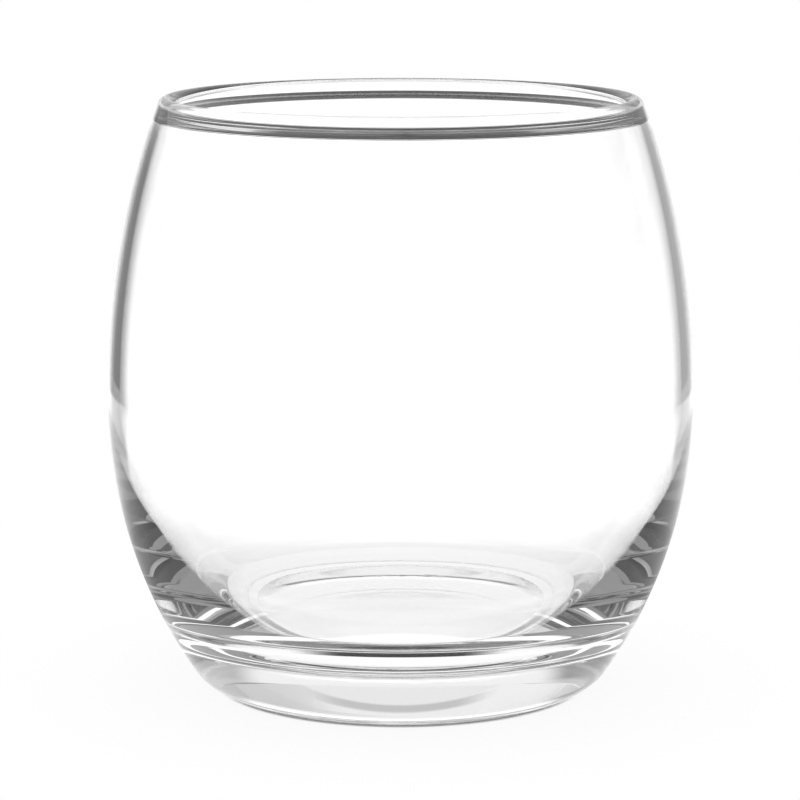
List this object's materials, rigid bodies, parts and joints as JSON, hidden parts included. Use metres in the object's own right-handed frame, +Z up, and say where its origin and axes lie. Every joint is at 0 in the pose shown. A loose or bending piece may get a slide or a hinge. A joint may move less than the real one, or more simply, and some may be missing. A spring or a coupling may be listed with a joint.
{
  "type": "stemless wine glass",
  "caption": "Clear stemless wine glass: egg-shaped bowl with a beaded lip, drawn in at the top, on a thick rounded floor with a shallow hollow under it.",
  "frame": {"origin": "on the table plane under the middle of the foot", "axes": "+Z up along the glass's axis of turning, from foot to lip; +X and +Y are any two square directions across it"},
  "size_m": [0.09, 0.09, 0.091],
  "materials": {
    "glass": "clear, smooth, fire-polished"
  },
  "bodies": {
    "root": {"tumbler": "glass"}
  },
  "joints": []
}
